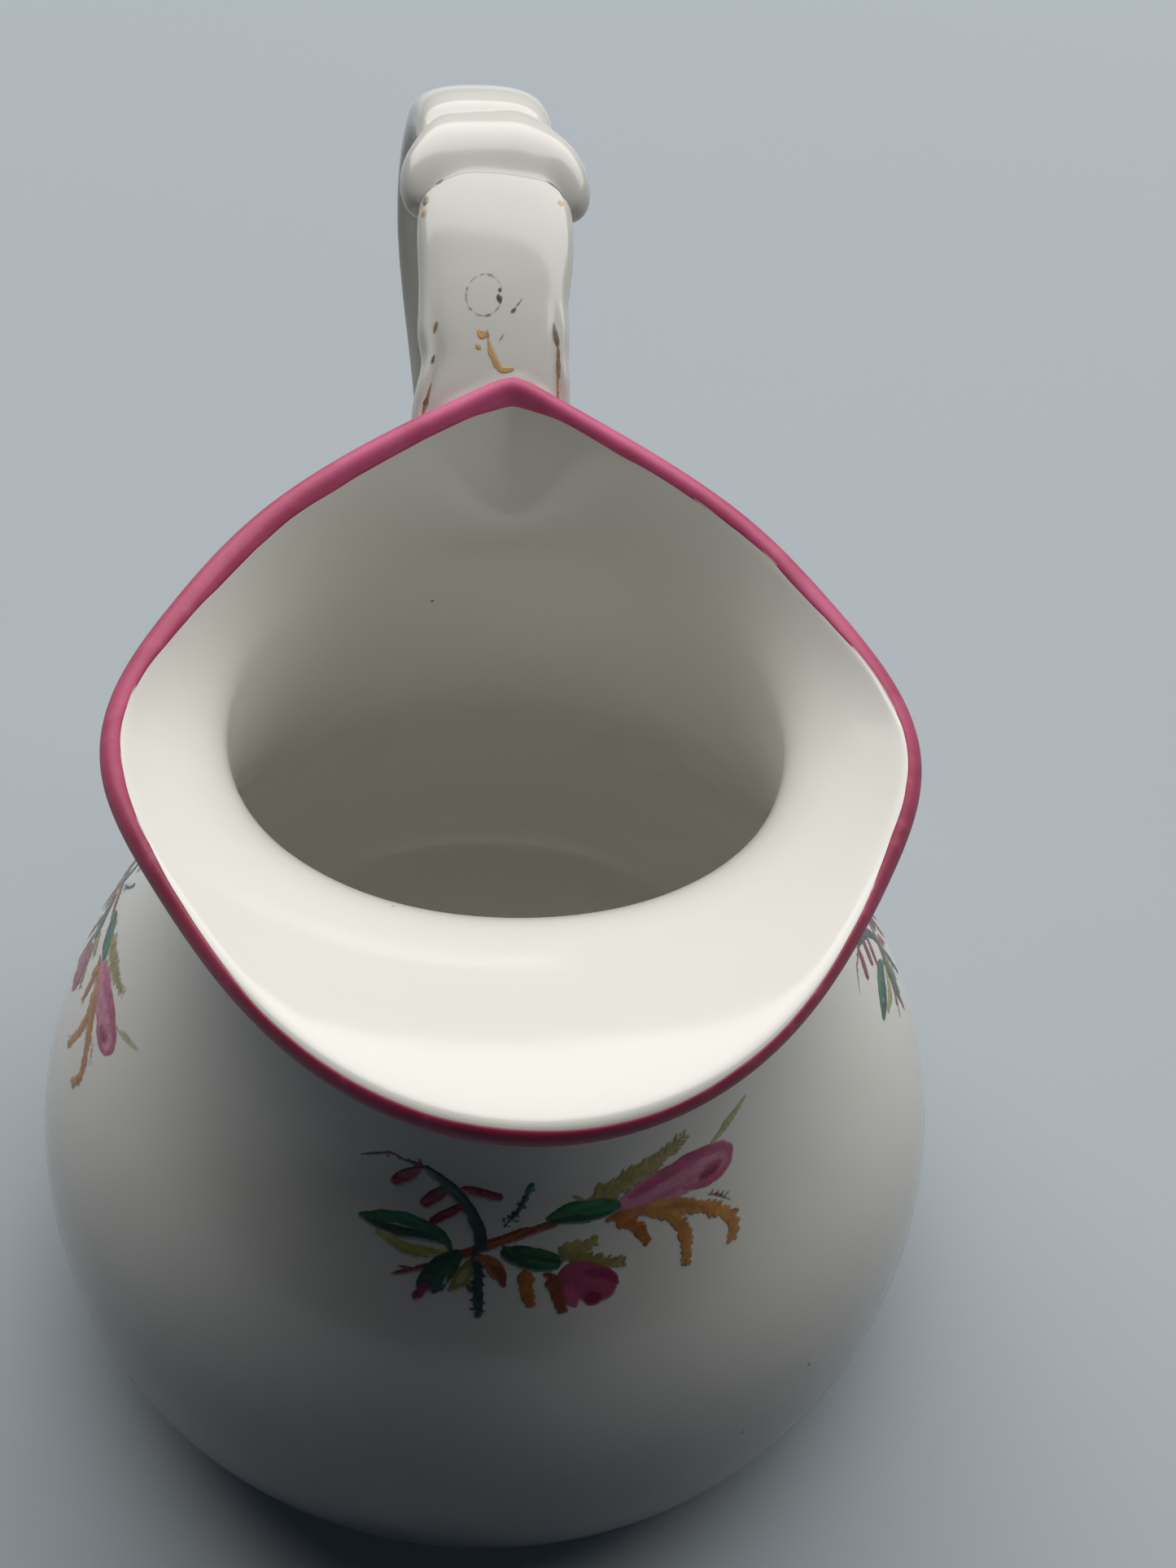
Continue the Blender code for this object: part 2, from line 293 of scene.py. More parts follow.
def lipSections(turn, grow=0.0):
    # outer side from neck to edge, and inner side from edge to neck, of a wall with a half-round edge
    b = body
    edgeRadius, edgeHeight = mouthEdge(turn)
    neckRadius = b["neckRadius"] - b["wall"] / 2
    slope = evenWave(b["lipSlopes"], turn)
    slope += b["lipUnevenness"] * math.cos(b["lipDips"] * turn + b["lipDipsStart"])
    chord = math.hypot(edgeRadius - neckRadius, edgeHeight - b["neckHeight"])
    back = evenWave(b["lipTensions"], turn) * chord
    fine = bezier(
        [
            (neckRadius, b["neckHeight"]),
            (neckRadius, b["neckHeight"] + b["neckTension"] * chord),
            (edgeRadius - back * math.cos(slope), edgeHeight - back * math.sin(slope)),
            (edgeRadius, edgeHeight),
        ],
        b["lipSteps"],
    )
    run = lengths(fine)
    half = b["lipThickness"] / 2
    stem = run[-1] - half
    step = 1e-5
    share = np.linspace(0.0, 1.0, b["lipRows"] + 1)
    quarter = np.linspace(0.0, math.pi / 2, b["roundRows"] + 1)[1:]
    places = np.concatenate([stem * share, stem + (half + grow) * np.sin(quarter)])
    halves = b["wall"] / 2 + (half - b["wall"] / 2) * share + grow
    halves = np.concatenate([halves, (half + grow) * np.cos(quarter)])
    middle = pointsAt(fine, run, places)
    end = pointsAt(fine, run, run[-1:]) - pointsAt(fine, run, run[-1:] - step)
    middle = middle + np.maximum(places - run[-1], 0.0)[:, None] * end / step
    ahead = np.clip(places, step, run[-1])
    along = pointsAt(fine, run, ahead) - pointsAt(fine, run, ahead - step)
    along /= np.linalg.norm(along, axis=1)[:, None]
    outward = np.stack([along[:, 1], -along[:, 0]], axis=1) * halves[:, None]
    return middle + outward, (middle - outward)[:-1][::-1]


def bodySection(turn):
    lipOut, lipIn = lipSections(turn)
    outside = np.vstack([footUnderside()[::-1], wallOutside()[::-1]])
    return np.vstack([outside, lipOut[1:], lipIn[:-1], wallInside()[::-1]])


def coreSection(turn):
    # the body's outside drawn in a little and filled, which trims the handle's ends
    inset = body["coreInset"]
    lipOut, _ = lipSections(turn, -inset)
    shrunk = offset(wallOutside()[::-1], inset)
    ends = [(0.0, body["coreFoot"]), (body["footRadius"], body["coreFoot"])]
    return np.vstack([ends, shrunk, lipOut[1:], [(0.0, lipOut[-1][1])]])


def addPiece(name, mesh, finish=None, sharp=None):
    data = bpy.data.meshes.new(name)
    mesh.to_mesh(data)
    mesh.free()
    data.shade_smooth()
    if sharp:
        data.set_sharp_from_angle(angle=math.radians(sharp))
    thing = bpy.data.objects.new(name, data)
    bpy.context.scene.collection.objects.link(thing)
    if finish:
        data.materials.append(finish)
    return thing


def spinSection(section, columns, closed=False):
    # spins the section at the back, then draws every vertex to its own turn's section
    mesh = bmesh.new()
    row = mesh.verts.layers.int.new("row")
    chain = [mesh.verts.new((0.0, r, z)) for r, z in section(0.0)]
    for index, vert in enumerate(chain):
        vert[row] = index
    pairs = list(zip(chain, chain[1:]))
    if closed:
        pairs.append((chain[-1], chain[0]))
    edges = [mesh.edges.new(pair) for pair in pairs]
    bmesh.ops.spin(
        mesh,
        geom=chain + edges,
        cent=(0, 0, 0),
        axis=(0, 0, 1),
        angle=2 * math.pi,
        steps=columns,
        use_merge=True,
    )
    bmesh.ops.remove_doubles(mesh, verts=mesh.verts, dist=1e-6)
    sections = {}
    for vert in mesh.verts:
        column = round(math.atan2(vert.co.x, vert.co.y) * columns / (2 * math.pi)) % columns
        turn = column * 2 * math.pi / columns
        if column not in sections:
            sections[column] = section(turn)
        radius, height = sections[column][vert[row]]
        vert.co = (radius * math.sin(turn), radius * math.cos(turn), height)
    bmesh.ops.recalc_face_normals(mesh, faces=mesh.faces)
    return mesh


def settle(thing):
    # from the body's own axis to the frame
    thing.data.transform(Matrix.Translation((0, axisY, 0)))


bodyMesh = spinSection(bodySection, body["columns"])
bodyTree = BVHTree.FromBMesh(bodyMesh)
jugBody = addPiece("jugBody", bodyMesh)
print("body spun:", len(jugBody.data.polygons), "faces")


handle = {
    "width": 0.0146,
    "thickness": 0.0052,
    "roundness": 2.6,
    "rootDepth": 0.0063,
    "rootDrop": 0.0100,
    "rootPull": (0.406, 0.508),
    "crestRise": 0.0098,
    "crestReach": 0.0630,
    "crestPulls": (0.36, 0.66),
    "clearOfBelly": 0.0292,
    "legHeight": 0.0840,
    "legPulls": (0.53, 0.30),
    "footHeight": 0.0370,
    "footPull": (0.60, 0.21),
    "bite": 0.0045,
    "turn": math.radians(2),
    "sides": 72,
    "rings": 260,
    "stepsPerArc": 200,
    "fillet": 0.0030,
    "rimFillet": 0.0003,
    # swells along the strap: the share more, how far along in mm, and how long in mm
    "widthSwells": (
        (0.07, 27.0, 6.0),
        (0.01, 16.9, 1.6),
        (-0.02, 13.3, 1.5),
        (0.06, 7.0, 4.5),
        (-0.05, 48.0, 10.0),
        (-0.08, 90.0, 22.0),
        (0.10, 116.0, 9.0),
    ),
    "thicknessSwells": ((-0.05, 88.0, 20.0), (0.16, 114.0, 8.0)),
    "wander": ((-1.3, 4.0, 9.0), (-0.4, 18.5, 4.0), (0.15, 31.0, 4.0), (-2.0, 69.0, 20.0)),  # mm
    # the thicker cap behind the collar, from a step to a slow run-out
    "cap": {"more": 0.20, "start": 41.7, "startSlope": 2.0, "end": 62.0, "endSlope": 0.35},
    # the leaf edge's place and ripple along, in mm, then its ridge and valley across, as shares
    "leaf": {"middle": 10.0, "length": 6.5, "ripple": 0.15, "ripplePace": 1.1},
    "leafAcross": ((0.22, 0.93, 0.07), (-0.20, 0.79, 0.07)),
    "leftScallops": ((0.02, 16.2, 1.8), (0.02, 9.6, 2.2)),
    "edgeLift": 0.4,
    "crease": math.radians(50),
}


def handleArcs():
    h = handle
    backRadius, backHeight = mouthEdge(body["tipTurn"])
    root = np.array((backRadius - h["rootDepth"], backHeight - h["rootDrop"]))
    crest = np.array((h["crestReach"], backHeight + h["crestRise"]))
    leg = np.array((body["bellyRadius"] + h["clearOfBelly"], h["legHeight"]))
    wall = wallOutside()[::-1]
    foot = np.array((np.interp(h["footHeight"], wall[:, 1], wall[:, 0]) - h["bite"], h["footHeight"]))
    rise, fall = crest[1] - root[1], crest[1] - leg[1]
    drop, out = leg[1] - foot[1], leg[0] - foot[0]
    fromRoot = root + np.array(h["rootPull"]) * rise
    toCrest = crest - (h["crestPulls"][0] * (crest[0] - root[0]), 0)
    fromCrest = crest + (h["crestPulls"][1] * (leg[0] - crest[0]), 0)
    toLeg = leg + (0, h["legPulls"][0] * fall)
    fromLeg = leg - (0, h["legPulls"][1] * drop)
    toFoot = foot + np.array((h["footPull"][0] * out, h["footPull"][1] * drop))
    return [
        (root, fromRoot, toCrest, crest),
        (crest, fromCrest, toLeg, leg),
        (leg, fromLeg, toFoot, foot),
    ]


arcs = handleArcs()
handleLine = [bezier(arc, handle["stepsPerArc"])[:-1] for arc in arcs]
handleLine = np.vstack([*handleLine, arcs[-1][-1]])
handleRun = lengths(handleLine)
backEdge = mouthEdge(0.0)[0]


def strapFrame(run):
    # centre and outward direction in the handle's own plane, at this length from its upper root
    step = 0.0002
    spots = np.array([run, max(run - step, 0.0), min(run + step, handleRun[-1])])
    centre, before, after = pointsAt(handleLine, handleRun, spots)
    along = (after - before) / np.linalg.norm(after - before)
    return centre, np.array((-along[1], along[0]))


def bell(value, middle, width):
    return math.exp(-(((value - middle) / width) ** 2))


def swellAt(swells, mm):
    return sum(more * bell(mm, middle, width) for more, middle, width in swells)


def signedPower(value, power):
    return math.copysign(abs(value) ** power, value)


def strapShape(run):
    # half width, half thickness and sideways wander at this length
    h = handle
    cap = h["cap"]
    mm = run * 1000
    wide = 1.0 + swellAt(h["widthSwells"], mm)
    thick = 1.0 + swellAt(h["thicknessSwells"], mm)
    begun = 1 + math.exp(-(mm - cap["start"]) * cap["startSlope"])
    ended = 1 + math.exp((mm - cap["end"]) * cap["endSlope"])
    thick += cap["more"] / begun / ended
    return wide * h["width"] / 2, thick * h["thickness"] / 2, swellAt(h["wander"], mm) / 1000


def strapPoint(run, angle, proud=0.0):
    # a point on the strap's skin: angle 0 is its +X edge and a quarter turn its outer face
    centre, outward = strapFrame(run)
    halfWide, halfThick, wander = strapShape(run)
    power = 2 / handle["roundness"]
    c, s = math.cos(angle), math.sin(angle)
    x, y = signedPower(c, power), signedPower(s, power)
    mm = run * 1000
    # a raised leaf edge along both sides near the rim, with a shallow valley inside it
    leaf = handle["leaf"]
    ripple = 1 - leaf["ripple"] + leaf["ripple"] * math.cos(mm * leaf["ripplePace"])
    share = bell(mm, leaf["middle"], leaf["length"]) * ripple
    if y > 0:
        y += share * swellAt(handle["leafAcross"], abs(x))
    if x < 0:
        x *= 1 + swellAt(handle["leftScallops"], mm)
    spot = Vector((x * halfWide + wander, centre[0], centre[1]))
    up = Vector((0.0, outward[0], outward[1]))
    side = Vector((signedPower(c, 2 - power) * handle["edgeLift"], 0, 0))
    side += up * signedPower(s, 2 - power)
    return spot + up * (y * halfThick) + side.normalized() * proud


def leanHandle(spot):
    # turns the handle's own plane about the upright at the back of the rim
    pivot = Vector((0, backEdge, 0))
    return Matrix.Rotation(handle["turn"], 3, "Z") @ (spot - pivot) + pivot


def nearestOnHandle(spot):
    # the point of the handle's line nearest to this spot, in its own plane
    def gap(point):
        return (point[0] - spot.y) ** 2 + (point[1] - spot.z) ** 2

    return Vector((0, *min(handleLine[::4], key=gap)))


def handSpread(mesh):
    # spreads the strap over the body where they meet, as wet clay is smoothed on
    for vert in mesh.verts:
        spot, normal, _, _ = bodyTree.find_nearest(vert.co)
        away = (vert.co - spot).dot(normal)
        reach = handle["fillet"] if vert.co.z < body["neckHeight"] else handle["rimFillet"]
        if away >= reach or (vert.co - spot).length > 2 * reach:
            continue
        across = vert.co - leanHandle(nearestOnHandle(vert.co))
        across -= normal * across.dot(normal)
        if across.length < 1e-6:
            continue
        depth = reach - max(away, 0.0)
        flare = reach - math.sqrt(max(reach * reach - depth * depth, 0.0))
        vert.co += across.normalized() * flare


def sweepStrap():
    mesh = bmesh.new()
    bmesh.ops.create_cone(
        mesh,
        cap_ends=True,
        cap_tris=False,
        segments=handle["sides"],
        radius1=1.0,
        radius2=1.0,
        depth=1.0,
    )
    uprights = [edge for edge in mesh.edges if abs(edge.verts[0].co.z - edge.verts[1].co.z) > 0.5]
    bmesh.ops.subdivide_edges(mesh, edges=uprights, cuts=handle["rings"])
    for vert in mesh.verts:
        angle = math.atan2(vert.co.y, vert.co.x)
        share = vert.co.z + 0.5
        vert.co = leanHandle(strapPoint(share * handleRun[-1], angle))
    bmesh.ops.recalc_face_normals(mesh, faces=mesh.faces)
    return mesh


core = addPiece("bodyCore", spinSection(coreSection, body["coreColumns"]))
strap = addPiece("handleStrap", sweepStrap())
trim = strap.modifiers.new("trim", "BOOLEAN")
trim.operation = "DIFFERENCE"
trim.solver = "EXACT"
trim.object = core
bpy.context.view_layer.update()
trimmed = bmesh.new()
trimmed.from_object(strap, bpy.context.evaluated_depsgraph_get())
strap.modifiers.clear()
bpy.data.objects.remove(core)
handSpread(trimmed)
trimmed.to_mesh(strap.data)
trimmed.free()
strap.data.shade_smooth()
strap.data.set_sharp_from_angle(angle=handle["crease"])
print("strap swept:", len(strap.data.polygons), "faces")

collar = {
    "middle": 0.0375,
    "sag": 0.0038,
    "underSag": 0.003,
    "rows": 44,
    "around": 224,
    "halfLength": 0.0040,
    "leftLonger": -0.08,
    "rightLonger": 0.06,
    "underShorter": 0.40,
    "nearLonger": 0.25,
    "proud": 0.0010,
    "underFlatter": 0.35,
    "knuckle": 0.0009,
    "rightKnuckle": 1.6,
    "lobe": 0.10,
    "nearSoftness": 2.4,
    "farSoftness": 0.4,
    "bedDepth": 0.35,
}


def collarPoint(angle, phi):
    # a roll round the strap, swollen into a knuckle at either edge, which hangs a little forward
    k = collar
    c, s = math.cos(angle), math.sin(angle)
    edge = abs(c) ** 5
    under = max(-s, 0.0)
    run = k["middle"] - k["sag"] * c**4 - k["underSag"] * under
    lobes = k["lobe"] * math.cos(5 * angle + 0.6) * (1 - edge) * max(s, 0.0)
    longer = k["leftLonger"] if c < 0 else k["rightLonger"]
    length = k["halfLength"] * (1.0 + longer * edge + 0.5 * lobes - k["underShorter"] * under)
    proud = k["proud"] * (1.0 + lobes - k["underFlatter"] * under)
    proud += k["knuckle"] * edge * (1.0 if c < 0 else k["rightKnuckle"])
    roll, along = math.cos(phi), math.sin(phi)
    # the near side is longer and runs out softly into the strap
    softness = k["nearSoftness"] if along < 0 else k["farSoftness"]
    length *= 1 + k["nearLonger"] * (1 - edge) * (along < 0)
    roll = roll ** (1 + softness * (1 - edge)) if roll > 0 else max(roll, -k["bedDepth"])
    return leanHandle(strapPoint(run + length * along, angle, proud * roll))


def rollCollar():
    mesh = bmesh.new()
    bmesh.ops.create_grid(mesh, x_segments=collar["around"], y_segments=collar["rows"], size=0.5)
    for vert in mesh.verts:
        vert.co = collarPoint(2 * math.pi * vert.co.x, 2 * math.pi * vert.co.y)
    bmesh.ops.remove_doubles(mesh, verts=mesh.verts, dist=1e-6)
    bmesh.ops.recalc_face_normals(mesh, faces=mesh.faces)
    return mesh


collarPiece = addPiece("handleCollar", rollCollar())
print("collar rolled")


glaze = {
    "white": (0.870, 0.866, 0.812, 1),
    "greyer": (0.850, 0.850, 0.795, 1),
    "speck": (0.33, 0.26, 0.19, 1),
    "specksPerMetre": 300.0,
    "speckSize": 0.06,
    "specklessShare": 0.97,
}


def glazedPorcelain():
    finish = Finish(
        "glazedPorcelain",
        Roughness=0.16,
        IOR=1.50,
        Coat_Weight=0.1,
        Coat_Roughness=0.04,
    )
    where = finish.place()
    cloud = finish.noise(26.0, 3.0, where)
    fine = finish.noise(340.0, 2.0, where)
    tone = finish.blend(finish.ramp(cloud, 0.35, 0.7), glaze["white"], glaze["greyer"])
    cells = {"Vector": where, "Scale": glaze["specksPerMetre"], "Randomness": 1.0}
    near = finish.node("ShaderNodeTexVoronoi", None, cells, "Distance")
    chance = finish.node("ShaderNodeTexVoronoi", None, cells, "Color")
    apart = finish.node("ShaderNodeSeparateColor", None, {0: chance})
    speck = (near < glaze["speckSize"]) * (apart > glaze["specklessShare"])
    tone = finish.blend(speck, tone, glaze["speck"])
    swell = finish.noise(95.0, 2.0, where)
    height = swell * 0.9 + fine * 0.05 - speck * 0.35
    finish.feed(
        Base_Color=tone,
        Roughness=finish.ramp(cloud, 0.2, 0.8) * 0.05 + 0.13,
        Normal=finish.bump(height, 0.16, 0.0008),
    )
    return finish.material


porcelain = glazedPorcelain()
for piece in (jugBody, strap, collarPiece):
    piece.data.materials.append(porcelain)


rimLine = {
    "inside": (0.0023, 0.0016, 0.0009),
    "outside": (0.0022, 0.0020, 0.0019),
    "leftMore": 0.0006,
    "tipMore": 0.0010,
    "tipMoreSpread": 6,
    "wobble": 0.00012,
    "film": 0.00006,
    "bed": 0.00010,
    "columns": 900,
    "acrossRows": 14,
}


def waver(turn, seed):
    # an uneven hand's wander, repeating once round
    waves = ((3, 0.6), (7, 0.5), (13, 0.4), (23, 0.22), (41, 0.10), (67, 0.04))
    return sum(size * math.sin(count * turn + seed * (1.3 + count)) for count, size in waves)


def rimSection(turn):
    lipOut, lipIn = lipSections(turn)
    skin = np.vstack([lipOut, lipIn])
    run = lengths(skin)
    edge = run[len(lipOut) - 1]
    outer = evenWave(rimLine["outside"], turn) + rimLine["wobble"] * waver(turn, 1.0)
    inner = evenWave(rimLine["inside"], turn) + rimLine["wobble"] * waver(turn, 2.0)
    inner -= rimLine["leftMore"] * math.sin(turn) * (1 + math.cos(turn)) / 2
    fromTip = math.degrees(math.remainder(turn - body["tipTurn"], 2 * math.pi))
    inner += rimLine["tipMore"] * bell(fromTip, 0, rimLine["tipMoreSpread"])
    share = np.linspace(0.0, 1.0, rimLine["acrossRows"] + 1)
    across = pointsAt(skin, run, edge - outer + share * (outer + inner))
    lift = rimLine["film"] * np.minimum(1.0, 6 * np.minimum(share, 1 - share) + 0.05)
    above = offset(across, 1.0) - across
    return np.vstack([across - above * lift[:, None], (across + above * rimLine["bed"])[::-1]])


enamel = {
    # the spout's colour is darker both for thicker enamel and as painted shade
    "atSpoutThickAndShaded": (0.34, 0.035, 0.090, 1),
    "atBack": (0.74, 0.130, 0.300, 1),
    "pooled": (0.76, 0.55, 0.62, 1),
    "marks": (0.70, 0.20, 0.33, 1),
    "gradientReach": 0.030,
}


def pinkEnamel():
    finish = Finish("pinkEnamel", IOR=1.45, Coat_Weight=0.1, Coat_Roughness=0.15)
    where = finish.place()
    longMarks = finish.noise(420.0, 3.0, where)
    pools = finish.noise(95.0, 2.0, where)
    # the enamel is thinner at the back of the rim and thicker towards the spout; its darker colour
    # towards the spout is also painted shade, as the front faces away from the light
    towardsBack = finish.node("ShaderNodeSeparateXYZ", None, {0: where}, "Y")
    reach = enamel["gradientReach"]
    thinAndLit = finish.ramp(towardsBack, axisY - reach, axisY + reach)
    rose = finish.blend(thinAndLit, enamel["atSpoutThickAndShaded"], enamel["atBack"])
    pooled = finish.blend(1.0, rose, enamel["pooled"], "MULTIPLY")
    tone = finish.blend(finish.ramp(pools, 0.38, 0.68), rose, pooled)
    tone = finish.blend(finish.ramp(longMarks, 0.55, 0.80) * 0.35, tone, enamel["marks"])
    finish.feed(
        Base_Color=tone,
        Roughness=longMarks * 0.15 + 0.46,
        Normal=finish.bump(longMarks, 0.25, 0.0002),
    )
    return finish.material


rimEnamel = addPiece("rimEnamel", spinSection(rimSection, rimLine["columns"], closed=True), pinkEnamel())
print("rim line laid")


def curveThrough(points, steps=10):
    # a smooth line through the points
    points = [np.array(point, float) for point in points]
    if len(points) == 2:
        return np.linspace(points[0], points[1], steps + 1)
    padded = [2 * points[0] - points[1], *points, 2 * points[-1] - points[-2]]
    line = []
    for before, start, end, after in zip(padded, padded[1:], padded[2:], padded[3:]):
        for t in np.linspace(0, 1, steps, endpoint=False):
            line.append(
                0.5
                * (
                    2 * start
                    + (end - before) * t
                    + (2 * before - 5 * start + 4 * end - after) * t**2
                    + (3 * start - before - 3 * end + after) * t**3
                )
            )
    return np.array(line + [points[-1]])


class Painting:
    # a patch of fine faces that takes brush strokes given in millimetres, right and up from its middle
    def __init__(self, name, width, height, pitch, seed):
        self.name = name
        self.size = (width, height)
        self.mesh = bmesh.new()
        cells = (round(width / pitch), round(height / pitch))
        bmesh.ops.create_grid(self.mesh, x_segments=cells[0], y_segments=cells[1], size=0.5)
        self.spots = np.array([(v.co.x * width, v.co.y * height) for v in self.mesh.verts])
        self.colour = np.zeros((len(self.spots), 3))
        self.cover = np.zeros(len(self.spots))
        self.dice = np.random.default_rng(seed)
        self.grain = self.roughField(3.1) * 0.6 + self.roughField(7.3) * 0.4

    def roughField(self, scale):
        # a smooth random field over the patch, about -1 to 1
        total = np.zeros(len(self.spots))
        for _ in range(14):
            angle = self.dice.uniform(0, 2 * math.pi)
            wave = scale * self.dice.uniform(0.6, 1.6)
            direction = np.array((math.cos(angle), math.sin(angle))) * wave
            total += np.sin(self.spots @ direction + self.dice.uniform(0, 2 * math.pi))
        return total / 5.0

    def stroke(self, points, width, colour, load=1.0, soft=0.16, taper=(0.5, 0.2), streak=0.25):
        # width is the widest half width, and taper the share of it left at the start and the end
        line = curveThrough(points)
        run = lengths(line) / max(lengths(line)[-1], 1e-6)
        # it swells over the first 0.4 of its run and thins over the last 0.4
        started = taper[0] + (1 - taper[0]) * np.sin(run / 0.4 * math.pi / 2)
        ending = taper[1] + (1 - taper[1]) * np.sin((1 - run) / 0.4 * math.pi / 2)
        ends = np.where(run > 0.6, ending, np.where(run < 0.4, started, 1.0))
        halves = width * ends
        low, high = line.min(0) - width - soft, line.max(0) + width + soft
        near = np.where(((self.spots > low) & (self.spots < high)).all(1))[0]
        if not len(near):
            return
        best = np.full(len(near), 9.0)
        side = np.zeros(len(near))
        for start, end, w0, w1 in zip(line, line[1:], halves, halves[1:]):
            step = end - start
            share = np.clip((self.spots[near] - start) @ step / max(step @ step, 1e-9), 0, 1)
            away = self.spots[near] - start - share[:, None] * step
            distance = np.hypot(*away.T) - (w0 + (w1 - w0) * share)
            closer = distance < best
            best = np.where(closer, distance, best)
            across = np.array((-step[1], step[0]))
            side = np.where(closer, away @ across / max(np.hypot(*step), 1e-9), side)
        ragged = best + 0.10 * self.grain[near]
        wet = np.clip(0.5 - ragged / soft, 0, 1)
        wet = wet * wet * (3 - 2 * wet) * load
        wet *= np.clip(1 + 0.35 * self.grain[near], 0, 1.1)
        wet = np.clip(wet, 0, 1)
        bristle = np.sin(side * 19 + self.dice.uniform(0, 6)) * streak * 0.5
        bristle += self.grain[near] * streak * 0.5
        tint = np.clip(np.array(colour)[None] * (1 + bristle[:, None]), 0, 1)
        old = self.cover[near]
        whole = wet + old * (1 - wet)
        mixed = tint * wet[:, None] + self.colour[near] * (old * (1 - wet))[:, None]
        self.colour[near] = mixed / np.maximum(whole, 1e-6)[:, None]
        self.cover[near] = whole

    def feather(self, points, width, colour, reach, count, load=0.9, lean=0.9):
        # a curving rib with short barbs off both sides, thickest near its root
        self.stroke(points, width, colour, load)
        line = curveThrough(points)
        for index in range(count):
            share = (index + 0.6) / count
            place = share * (len(line) - 1)
            spot = line[int(place)]
            step = line[min(int(place) + 1, len(line) - 1)] - line[int(place) - 1]
            step = step / max(np.hypot(*step), 1e-9)
            for way in (1, -1):
                across = np.array((-step[1], step[0])) * way
                size = reach * (1.1 - 0.6 * share) * self.dice.uniform(0.6, 1.2)
                tip = spot + across * size + step * size * lean * self.dice.uniform(0.6, 1.3)
                shade = np.array(colour) * self.dice.uniform(0.8, 1.25)
                barb = [spot, (spot + tip) / 2 + across * 0.08, tip]
                self.stroke(barb, width * 0.55, shade, load * 0.8, 0.14)

    def finished(self, toSkin, finish, proud):
        # drops bare faces, lays the rest on the skin and stores the paint
        paint = self.mesh.verts.layers.float_color.new("paint")
        cover = self.mesh.verts.layers.float.new("cover")
        for vert, colour, share in zip(self.mesh.verts, self.colour, self.cover):
            vert[paint] = (*colour, 1.0)
            vert[cover] = share
        bare = [face for face in self.mesh.faces if max(v[cover] for v in face.verts) < 0.03]
        bmesh.ops.delete(self.mesh, geom=bare, context="FACES")
        for vert in self.mesh.verts:
            u, v = vert.co.x * self.size[0], vert.co.y * self.size[1]
            vert.co = toSkin(u * 0.001, v * 0.001, proud * (0.4 + 0.6 * vert[cover]))
        thing = addPiece(self.name, self.mesh, finish)
        print("painted", self.name, len(thing.data.polygons), "faces")
        return thing


def brushedEnamel(name, **plain):
    finish = Finish(name, IOR=1.5, **plain)
    tone = finish.node("ShaderNodeAttribute", {"attribute_name": "paint"}, output="Color")
    cover = finish.node("ShaderNodeAttribute", {"attribute_name": "cover"}, output="Fac")
    where = finish.place()
    mottle = finish.noise(900.0, 2.0, where)
    deeper = finish.blend(1.0, tone, (0.72, 0.70, 0.70, 1), "MULTIPLY")
    tone = finish.blend(finish.ramp(mottle, 0.35, 0.75), tone, deeper)
    finish.feed(
        Base_Color=tone,
        Alpha=finish.ramp(cover, 0.04, 0.62),
        Roughness=mottle * 0.12 + 0.22,
        Normal=finish.bump(mottle + cover * 0.8, 0.2, 0.0001),
    )
    return finish.material


sprayColours = {
    "deepGreen": (0.012, 0.060, 0.030),
    "green": (0.020, 0.150, 0.060),
    "emerald": (0.030, 0.260, 0.110),
    "teal": (0.016, 0.050, 0.062),
    "brightTeal": (0.020, 0.190, 0.150),
    "olive": (0.300, 0.260, 0.075),
    "moss": (0.430, 0.370, 0.130),
    "straw": (0.640, 0.600, 0.300),
    "leafYellow": (0.520, 0.520, 0.110),
    "rust": (0.270, 0.062, 0.022),
    "orange": (0.480, 0.165, 0.035),
    "amber": (0.580, 0.270, 0.075),
    "pink": (0.580, 0.095, 0.235),
    "palePink": (0.700, 0.280, 0.400),
    "rose": (0.450, 0.070, 0.170),
    "magenta": (0.330, 0.020, 0.110),
    "crimson": (0.260, 0.006, 0.030),
    "brown": (0.210, 0.070, 0.045),
}


spray = {
    "size": (43.0, 17.5),
    "pitch": 0.115,
    "film": 0.00006,
}


